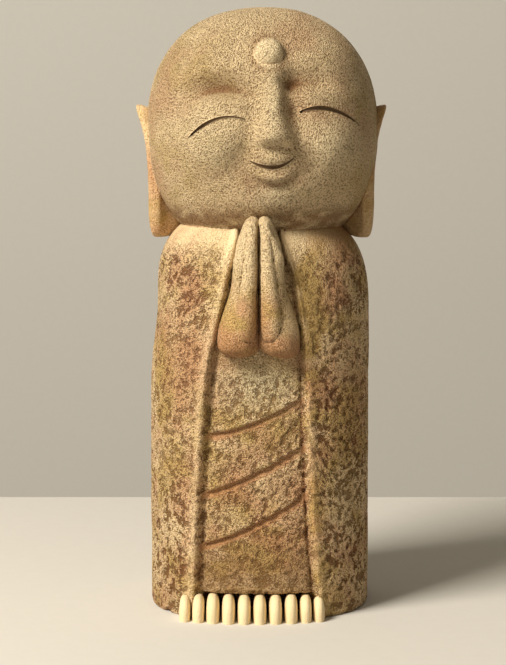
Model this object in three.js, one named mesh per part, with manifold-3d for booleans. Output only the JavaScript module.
// A stone jizo: a child monk in a long cloak, standing with palms pressed together.
// Millimetres, +Z up. The figure faces -Y, and +X is on a viewer's right hand.
// The origin lies on the flat underside, on the upright axis through the body.
// The whole figure is carved from one block, so it is one mesh.

import * as THREE from 'three';
import { mergeVertices } from 'three/addons/utils/BufferGeometryUtils.js';
import Module from 'manifold-3d';

// ---- driving dimensions ----

const cloak = {
  halfWidth: 73.3, // widest reach to each side
  front: 68.5, // reach from the axis to the front
  back: 63, // reach from the axis to the back
  shoulder: 190, // height where the shoulders start to round over
  top: 268, // height where they would close, inside the head
  thickness: 3.6, // how far the cloak stands off the robe
  cornerPower: 2.4, // 2 is an ellipse, more is squarer
  shoulderPower: 3,
  edge: 2, // bevel round the foot
  slices: 52,
  sideRows: 13,
  shoulderRows: 9,
};

// The viewer's left shoulder droops a little.
const droop = { depth: 5, height: 205, spread: 24 };

// The cloak hangs open in front, wider towards the ground: the edges' distance from the axis.
const opening = {
  heights: [-5, 40, 120, 176, 215, 252],
  left: [-41, -38.4, -31.6, -26.5, -22, -9],
  right: [38.6, 34.4, 28.6, 27.2, 25.5, 12],
  from: 35, // the cut reaches from here ...
  to: 95, // ... to here in front of the axis
};

// Robe folds climb from the viewer's left to the right: height = middle + slope x + bend x x.
const folds = [
  { middle: 133, slope: 0.41, bend: 0.0035 },
  { middle: 99.2, slope: 0.5, bend: 0.0022 },
  { middle: 65.4, slope: 0.52, bend: 0.0026 },
];
// Each fold is undercut by a wedge that stands clear of the cloth by a little in front.
const foldCut = { depth: 2, drop: 7, clear: 1.2, from: -48, to: 44, steps: 14 };

// The robe stops short of the ground and leaves the toes bare.
const hem = { height: 17, left: -44, right: 41, backWall: -48, front: -100 };

const head = {
  x: 1.8,
  z: 318,
  halfWidth: 77,
  up: 82,
  down: 80,
  front: 73.5,
  back: 72,
  sidePower: 2.1,
  uprightPower: 2.3,
  slices: 56,
  rows: 32,
  frontCrowding: 0.6, // 0 spaces the columns evenly, towards 1 crowds them on the face
  reliefFade: 2, // the relief is full until this much of the way round to the side
  middleCrowding: 0.2, // the same for the rows, towards the middle of the face
};

// Broad swells (rise above 0) and hollows (below 0) of the face, each a soft mound.
const swells = [
  { x: -32, z: 306, wide: 17, tall: 15, tilt: 0, rise: 3.4 }, // cheek
  { x: 47, z: 309, wide: 16, tall: 15, tilt: 0, rise: 3.4 }, // cheek
  { x: -29, z: 347, wide: 15, tall: 5.5, tilt: 18, rise: -3.4 }, // eye socket
  { x: 30, z: 352, wide: 14, tall: 5.5, tilt: -4, rise: -3 }, // eye socket
  { x: -27, z: 335, wide: 17, tall: 6, tilt: 18, rise: 1.4 }, // eyelid
  { x: 43, z: 342, wide: 16, tall: 5, tilt: -8, rise: 1.2 }, // eyelid
  { x: -1, z: 340, wide: 5, tall: 13, tilt: 0, rise: -1.6 }, // beside the nose
  { x: 18.5, z: 342, wide: 5, tall: 13, tilt: 0, rise: -2.4 }, // beside the nose
  { x: 8.4, z: 306.5, wide: 9, tall: 3.6, tilt: 0, rise: 1.5 }, // upper lip
  { x: 9, z: 293.5, wide: 8.5, tall: 3.4, tilt: 0, rise: 1.4 }, // lower lip
  { x: 7, z: 281, wide: 17, tall: 8, tilt: 0, rise: 1.2 }, // chin
];

// The nose rises from the brow to its tip and drops steeply to the lip. Its wings widen the tip.
const nose = {
  x: 9,
  brow: 360, // height where it starts
  tip: 320.5,
  under: 312.5,
  rise: 8.6,
  slope: 1.3, // 1 rises evenly, more is flatter at the brow
  ridge: 3.7, // spread of the ridge from side to side
  wings: 6.4, // the same at the wings
  wingsFrom: 0.6, // share of the way down where it starts to widen
};

const urna = { x: 5.7, z: 370.5, radius: 9.2, rise: 6.2, sunk: 1.2 };

// Carved lines of the face: two ends and the point that the arc bends towards, as [x, z].
const faceLines = [
  { start: [-51, 307.6], bend: [-33, 335.4], end: [-9.4, 328.2], thick: 1.3 }, // closed eye
  { start: [25.4, 332.5], bend: [44.7, 341], end: [65, 322.6], thick: 1.2 }, // closed eye
  { start: [-6.6, 302.8], bend: [9.2, 293.6], end: [22.2, 305.2], thick: 1.1 }, // mouth
];
const lineMesh = { points: 9, rows: 12, slices: 6, thinning: 0.9 };

// Long ears: flat lobes hanging from temple to shoulder, flared outwards at the tip.
const ear = {
  top: 339,
  bottom: 247.5,
  side: 69.5, // middle of the slab, out from the axis
  shift: 1, // both ears sit this far to the viewer's right
  flare: 12, // how much further out the tip leans
  thick: 6.6, // half the slab, on its outer side
  innerThick: 8, // the same on the side of the cheek
  y: -3,
  reach: 17, // half its size from front to back at the tip
  lobeReach: 12,
  power: 2.8,
  hollowRise: 0.7, // where the hollow lies on the way up
  hollowOut: 5,
  hollowDeep: 5,
  hollowTall: 17,
  slices: 14,
  rows: 12,
};

// Hands: both palms together, each one a long drop that widens down to the wrist.
const hand = {
  middle: -0.9,
  tip: 265.5,
  base: 174,
  palmWidth: 26.5,
  tipWidth: 10.5,
  palmDeep: 15,
  tipDeep: 6.5,
  y: -65,
  tipY: -61.5,
  overlap: 0.6, // each palm pressed into the other
  wrist: 0.86, // share of the way down where the palm is widest
  blunt: 1.7, // how quickly both ends round off
  bluntPower: 0.75,
  widening: 1.15,
  slices: 14,
  rows: 14,
};

// The little fingers and the edges of the palms, seen edge on. Places are out from the middle,
// and in front of the hand's own middle line.
const littleFinger = {
  heights: [252.5, 232, 212, 196],
  outward: [6.2, 7.2, 9.6, 11.6],
  forward: [5.2, 8.5, 8.8, 5],
  radius: 5.9,
  thinning: 0.8,
  slices: 8,
  rows: 8,
};

// Ten toes in a row, big toes inside, curving back a little towards the outside.
const toes = {
  middle: -5.2,
  pitch: 10.3,
  count: 5,
  full: 2, // this many toes come before the toes start to shrink
  shrink: 0.93, // size of each later toe against the one before
  heightShrink: 0.7, // how much of the shrinking the height takes up
  width: 9,
  height: 16.2,
  front: -79.5,
  back: -42,
  curve: 0.0036,
  power: 3, // 2 is round, more is squarer
  slices: 10,
  rows: 8,
};

const groundReach = 150; // the ground that is cut away under the figure
const ballMesh = { slices: 12, rows: 8 };
const taperedEnds = 0.6; // 1 ends in a point, towards 0 ends blunt
const weld = 0.01; // corners of the finished surface closer than this are one corner

// ---- solids ----

const wasm = await Module();
wasm.setup();

// A closed surface laid out like a globe. place(around, along) gives the point
// at a share of the turn and a share of the way from the first pole to the last.
function globe(slices, rows, place) {
  const geometry = new THREE.SphereGeometry(1, slices, rows);
  geometry.deleteAttribute('normal');
  geometry.deleteAttribute('uv');
  const position = geometry.attributes.position;
  const columns = slices + 1;
  for (let i = 0; i < position.count; i += 1) {
    const around = ((i % columns) % slices) / slices;
    const along = Math.floor(i / columns) / rows;
    const point = place(around, along);
    position.setXYZ(i, point.x, point.y, point.z);
  }
  return mergeVertices(geometry, 1e-3);
}

// Hands a closed geometry to the joining and cutting library, turned right side out.
function solid(geometry) {
  const bare = geometry.index ? geometry.clone() : geometry;
  bare.deleteAttribute('normal');
  bare.deleteAttribute('uv');
  const merged = mergeVertices(bare, 1e-3);
  const vertProperties = new Float32Array(merged.attributes.position.array);
  const triVerts = new Uint32Array(merged.index.array);
  if (signedVolume(vertProperties, triVerts) < 0) {
    triVerts.reverse();
  }
  return new wasm.Manifold(new wasm.Mesh({ numProp: 3, vertProperties, triVerts }));
}

// Six times the enclosed volume, negative where the faces point inwards.
function signedVolume(points, corners) {
  const a = new THREE.Vector3();
  const b = new THREE.Vector3();
  const c = new THREE.Vector3();
  let total = 0;
  for (let i = 0; i < corners.length; i += 3) {
    a.fromArray(points, corners[i] * 3);
    b.fromArray(points, corners[i + 1] * 3);
    c.fromArray(points, corners[i + 2] * 3);
    total += a.dot(b.cross(c));
  }
  return total;
}

// Distance to a superellipse of unit size, in the direction (across, up).
function squareness(across, up, power) {
  return (Math.abs(across) ** power + Math.abs(up) ** power) ** (-1 / power);
}

const mix = THREE.MathUtils.lerp;
const bell = (distance, spread) => Math.exp(-0.5 * (distance / spread) ** 2);

// ---- cloak and robe ----

// Share of the full section that is left at a height, where the shoulders round over.
function shoulderShare(z) {
  const rise = THREE.MathUtils.clamp((z - cloak.shoulder) / (cloak.top - cloak.shoulder), 0, 1);
  return (1 - rise ** cloak.shoulderPower) ** (1 / cloak.shoulderPower);
}

// The body's outline at one height, by direction, pulled in by inset.
function bodyPoint(angle, z, share, inset) {
  const across = Math.cos(angle);
  const along = Math.sin(angle);
  const reach = squareness(across, along, cloak.cornerPower) * share;
  const sag = across < 0 ? droop.depth * bell(z - droop.height, droop.spread) * across * across : 0;
  const width = cloak.halfWidth - inset - sag;
  const depth = (along < 0 ? cloak.front : cloak.back) - inset;
  return new THREE.Vector3(width * across * reach, depth * along * reach, z);
}

// Where the front of the body lies at x and z.
function bodyFront(x, z, inset) {
  const share = shoulderShare(z);
  const across = Math.min(Math.abs(x) / (cloak.halfWidth - inset), share);
  const power = cloak.cornerPower;
  return -(cloak.front - inset) * (share ** power - across ** power) ** (1 / power);
}

// The body from the middle of its underside, up the sides and over the shoulders.
function bodyGeometry(inset) {
  const rows = 3 + cloak.sideRows + cloak.shoulderRows;
  return globe(cloak.slices, rows, (around, along) => {
    const angle = around * 2 * Math.PI;
    const row = Math.round(along * rows);
    const sideRow = row - 2;
    const shoulderRow = sideRow - cloak.sideRows;
    if (row < 2) {
      return bodyPoint(angle, 0, row * (1 - cloak.edge / cloak.front), inset);
    }
    if (shoulderRow <= 0) {
      return bodyPoint(angle, mix(cloak.edge, cloak.shoulder, sideRow / cloak.sideRows), 1, inset);
    }
    const turn = (shoulderRow / (cloak.shoulderRows + 1)) * 0.5 * Math.PI;
    const reach = squareness(Math.cos(turn), Math.sin(turn), cloak.shoulderPower);
    const rise = (cloak.top - inset - cloak.shoulder) * Math.sin(turn) * reach;
    return bodyPoint(angle, cloak.shoulder + rise, Math.cos(turn) * reach, inset);
  });
}

// An upright prism through the front of the cloak, with the outline of its opening.
function openingGeometry() {
  const outline = new THREE.Shape();
  const leftEdge = opening.heights.map((z, i) => new THREE.Vector2(opening.left[i], z));
  const rightEdge = opening.heights.map((z, i) => new THREE.Vector2(opening.right[i], z)).reverse();
  outline.moveTo(leftEdge[0].x, leftEdge[0].y);
  outline.splineThru(leftEdge.slice(1));
  outline.lineTo(rightEdge[0].x, rightEdge[0].y);
  outline.splineThru(rightEdge.slice(1));
  outline.closePath();
  const depth = opening.to - opening.from;
  const prism = new THREE.ExtrudeGeometry(outline, { depth, bevelEnabled: false, curveSegments: 2 });
  prism.rotateX(Math.PI / 2);
  prism.translate(0, -opening.from, 0);
  return prism;
}

// A wedge that undercuts one fold: straight in under the upper cloth, then easing out
// over the lower cloth. It runs to a point at both ends, under the cloak.
function foldGeometry(fold) {
  return globe(3, foldCut.steps, (around, along) => {
    const x = mix(foldCut.from, foldCut.to, along);
    const z = fold.middle + fold.slope * x + fold.bend * x * x;
    const front = bodyFront(x, z, cloak.thickness);
    const corner = along === 0 || along === 1 ? 0 : Math.round(around * 3);
    if (corner === 0) {
      return new THREE.Vector3(x, front + foldCut.depth, z);
    }
    if (corner === 1) {
      return new THREE.Vector3(x, front - foldCut.clear, z);
    }
    return new THREE.Vector3(x, front - foldCut.clear, z - foldCut.drop);
  });
}

// ---- head ----

// How far the nose stands out at x and z.
function noseRelief(x, z) {
  const climb = THREE.MathUtils.clamp((nose.brow - z) / (nose.brow - nose.tip), 0, 1);
  const drop = THREE.MathUtils.smoothstep(z, nose.under, nose.tip);
  const spread = mix(nose.ridge, nose.wings, THREE.MathUtils.smoothstep(climb, nose.wingsFrom, 1));
  return nose.rise * climb ** nose.slope * drop * bell(x - nose.x, spread);
}

// The height of the face's relief at x and z, for the front half only.
function faceRelief(x, z) {
  let total = noseRelief(x, z);
  for (const swell of swells) {
    const tilt = THREE.MathUtils.degToRad(swell.tilt);
    const right = x - swell.x;
    const over = z - swell.z;
    const along = right * Math.cos(tilt) + over * Math.sin(tilt);
    const across = over * Math.cos(tilt) - right * Math.sin(tilt);
    total += swell.rise * bell(along, swell.wide) * bell(across, swell.tall);
  }
  return total;
}

// Where the front of the plain head lies at x and z.
function headFront(x, z) {
  const rise = z > head.z ? (z - head.z) / head.up : (head.z - z) / head.down;
  const share = Math.max(1 - rise ** head.uprightPower, 0) ** (1 / head.uprightPower);
  const across = Math.min(Math.abs(x - head.x) / head.halfWidth, share);
  const power = head.sidePower;
  return -head.front * (share ** power - across ** power) ** (1 / power);
}

// The same with the relief on it.
function faceFront(x, z) {
  return headFront(x, z) - faceRelief(x, z);
}

// The head: squarer than a ball, with the face's relief pushed out from its middle.
function headGeometry() {
  const centre = new THREE.Vector3(head.x, 0, head.z);
  return globe(head.slices, head.rows, (around, along) => {
    const turn = (around - 0.5) * 2 * Math.PI;
    const azimuth = turn - head.frontCrowding * Math.sin(turn) - Math.PI / 2;
    const level = (along - 0.5) * Math.PI;
    const climb = level - head.middleCrowding * Math.sin(2 * level);
    const across = Math.cos(azimuth);
    const back = Math.sin(azimuth);
    const upright = squareness(Math.cos(climb), Math.sin(climb), head.uprightPower);
    const share = upright * Math.cos(climb) * squareness(across, back, head.sidePower);
    const x = head.x + head.halfWidth * across * share;
    const y = (back < 0 ? head.front : head.back) * back * share;
    const z = head.z + (climb > 0 ? head.up : head.down) * Math.sin(climb) * upright;
    const point = new THREE.Vector3(x, y, z);
    if (back < 0) {
      const outward = point.clone().sub(centre).normalize();
      point.addScaledVector(outward, faceRelief(x, z) * Math.min(1, -back * head.reliefFade));
    }
    return point;
  });
}

// A long rounded mass along a path of points, with a radius at each share of the way.
function tapered(path, radius, slices, rows) {
  const curve = new THREE.CatmullRomCurve3(path, false, 'centripetal');
  const forward = new THREE.Vector3(0, -1, 0);
  return globe(slices, rows, (around, along) => {
    const share = 0.5 - 0.5 * Math.cos(along * Math.PI);
    const centre = curve.getPoint(share);
    const tangent = curve.getTangent(share);
    const side = new THREE.Vector3().crossVectors(tangent, forward).normalize();
    const out = new THREE.Vector3().crossVectors(side, tangent);
    const size = radius(share) * Math.sin(along * Math.PI) ** taperedEnds;
    const angle = around * 2 * Math.PI;
    centre.addScaledVector(side, size * Math.cos(angle));
    return centre.addScaledVector(out, size * Math.sin(angle));
  });
}

// An egg with its middle at x, y, z.
function ball(x, y, z, wide, deep, tall) {
  const geometry = new THREE.SphereGeometry(1, ballMesh.slices, ballMesh.rows);
  geometry.scale(wide, deep, tall);
  geometry.translate(x, y, z);
  return geometry;
}

// A carved line: a thin drop that follows an arc over the face.
function faceLineGeometry(line) {
  const arc = new THREE.QuadraticBezierCurve(
    new THREE.Vector2(...line.start),
    new THREE.Vector2(...line.bend),
    new THREE.Vector2(...line.end),
  );
  const onFace = (point) => new THREE.Vector3(point.x, faceFront(point.x, point.y), point.y);
  const path = arc.getPoints(lineMesh.points - 1).map(onFace);
  const radius = (share) => line.thick * (1 - lineMesh.thinning * Math.abs(share - 0.5));
  return tapered(path, radius, lineMesh.slices, lineMesh.rows);
}

// One ear, a flat slab that leans out at the tip.
function earGeometry(side) {
  return globe(ear.slices, ear.rows, (around, along) => {
    const angle = around * 2 * Math.PI;
    const climb = (along - 0.5) * Math.PI;
    const share = squareness(Math.cos(climb), Math.sin(climb), ear.power);
    const z = mix(ear.bottom, ear.top, 0.5 + 0.5 * Math.sin(climb) * share);
    const rise = (z - ear.bottom) / (ear.top - ear.bottom);
    const section = share * Math.cos(climb) * squareness(Math.cos(angle), Math.sin(angle), ear.power);
    const half = Math.cos(angle) > 0 ? ear.thick : ear.innerThick;
    const outward = ear.side + ear.flare * rise ** 4 + half * section * Math.cos(angle);
    const y = ear.y + mix(ear.lobeReach, ear.reach, rise) * section * Math.sin(angle);
    return new THREE.Vector3(side * outward + ear.shift, y, z);
  });
}

// The shallow hollow inside the rim of the ear.
function earHollowGeometry(side) {
  const z = mix(ear.bottom, ear.top, ear.hollowRise);
  const x = side * (ear.side + ear.thick + ear.hollowOut) + ear.shift;
  return ball(x, ear.y + 1, z, ear.hollowDeep, ear.reach * 0.5, ear.hollowTall);
}

// ---- hands ----

// One hand: a long drop, narrow at the fingertips and full at the wrist.
function handGeometry(side) {
  return globe(hand.slices, hand.rows, (around, along) => {
    const angle = around * 2 * Math.PI;
    const fall = 0.5 - 0.5 * Math.cos(along * Math.PI);
    const z = mix(hand.tip, hand.base, fall);
    const spread = Math.min(1, fall / hand.wrist) ** hand.widening;
    const close = Math.min(1, (Math.sin(along * Math.PI) * hand.blunt) ** hand.bluntPower);
    const width = mix(hand.tipWidth, hand.palmWidth, spread) * 0.5;
    const deep = mix(hand.tipDeep, hand.palmDeep, spread) * close;
    const x = hand.middle + side * (width - hand.overlap) + width * close * Math.cos(angle);
    const y = mix(hand.tipY, hand.y, Math.min(1, fall * 2));
    return new THREE.Vector3(x, y + deep * Math.sin(angle), z);
  });
}

// The little finger and the edge of the palm stand a little proud of the hand.
function littleFingerGeometry(side) {
  const path = littleFinger.heights.map((z, i) => {
    const x = hand.middle + side * littleFinger.outward[i];
    return new THREE.Vector3(x, hand.y - littleFinger.forward[i], z);
  });
  const radius = (share) => littleFinger.radius - littleFinger.thinning * Math.abs(share - 0.5);
  return tapered(path, radius, littleFinger.slices, littleFinger.rows);
}

// ---- feet ----

// One toe: a squarish egg, half of it below the ground until it is cut off flat.
function toeGeometry(x, size) {
  const away = x - toes.middle;
  const front = toes.front + toes.curve * away * away;
  const middle = (front + toes.back) / 2;
  const reach = (toes.back - front) / 2;
  const wide = toes.width * 0.5 * size;
  const tall = toes.height * mix(1, size, toes.heightShrink);
  return globe(toes.slices, toes.rows, (around, along) => {
    const angle = around * 2 * Math.PI;
    const climb = (along - 0.5) * Math.PI;
    const upright = squareness(Math.cos(climb), Math.sin(climb), toes.power);
    const flat = squareness(Math.cos(angle), Math.sin(angle), toes.power);
    const share = upright * Math.cos(climb) * flat;
    const y = middle + reach * share * Math.sin(angle);
    return new THREE.Vector3(x + wide * share * Math.cos(angle), y, tall * upright * Math.sin(climb));
  });
}

// Both feet's toes, from the big toe out.
function toeGeometries() {
  const list = [];
  for (const side of [-1, 1]) {
    let x = toes.middle + side * toes.pitch * 0.5;
    let size = 1;
    for (let i = 0; i < toes.count; i += 1) {
      list.push(toeGeometry(x, size));
      size *= i < toes.full ? 1 : toes.shrink;
      x += side * toes.pitch * size;
    }
  }
  return list;
}

// A block between two planes on each axis.
function box(left, right, front, back, low, high) {
  const geometry = new THREE.BoxGeometry(right - left, back - front, high - low);
  geometry.translate((left + right) / 2, (front + back) / 2, (low + high) / 2);
  return geometry;
}

// ---- the figure ----

function dress() {
  let robe = solid(bodyGeometry(cloak.thickness));
  for (const fold of folds) {
    robe = robe.subtract(solid(foldGeometry(fold)));
  }
  const coat = solid(bodyGeometry(0)).subtract(solid(openingGeometry()));
  const underHem = solid(box(hem.left, hem.right, hem.front, hem.backWall, -hem.height, hem.height));
  return robe.add(coat).subtract(underHem);
}

function face() {
  let mass = solid(headGeometry());
  const urnaY = headFront(urna.x, urna.z) + urna.sunk;
  mass = mass.add(solid(ball(urna.x, urnaY, urna.z, urna.radius, urna.rise, urna.radius)));
  for (const line of faceLines) {
    mass = mass.subtract(solid(faceLineGeometry(line)));
  }
  for (const side of [-1, 1]) {
    mass = mass.add(solid(earGeometry(side)).subtract(solid(earHollowGeometry(side))));
  }
  return mass;
}

function carve() {
  let figure = dress().add(face());
  for (const side of [-1, 1]) {
    figure = figure.add(solid(handGeometry(side))).add(solid(littleFingerGeometry(side)));
  }
  for (const toe of toeGeometries()) {
    figure = figure.add(solid(toe));
  }
  const below = solid(box(-groundReach, groundReach, -groundReach, groundReach, -groundReach, 0));
  return figure.subtract(below);
}

// Joins corners closer than a hair, and drops the faces that close up when they meet.
function welded(geometry) {
  const merged = mergeVertices(geometry, weld);
  const corners = merged.index.array;
  const kept = [];
  for (let i = 0; i < corners.length; i += 3) {
    const [a, b, c] = corners.slice(i, i + 3);
    if (a !== b && b !== c && c !== a) {
      kept.push(a, b, c);
    }
  }
  merged.setIndex(kept);
  return merged;
}

function statueGeometry() {
  const { vertProperties, triVerts } = carve().getMesh();
  const geometry = new THREE.BufferGeometry();
  geometry.setAttribute('position', new THREE.BufferAttribute(vertProperties, 3));
  geometry.setIndex(new THREE.BufferAttribute(triVerts, 1));
  const statueSurface = welded(geometry);
  statueSurface.computeVertexNormals();
  return statueSurface;
}

const weatheredStone = new THREE.MeshStandardMaterial({
  name: 'weathered_stone',
  color: new THREE.Color(0.6, 0.4, 0.22),
  roughness: 0.75,
  metalness: 0,
});

const statue = new THREE.Mesh(statueGeometry(), weatheredStone);
statue.name = 'jizo_statue';

const part = new THREE.Group();
part.name = 'stone_jizo';
part.add(statue);

export default part;
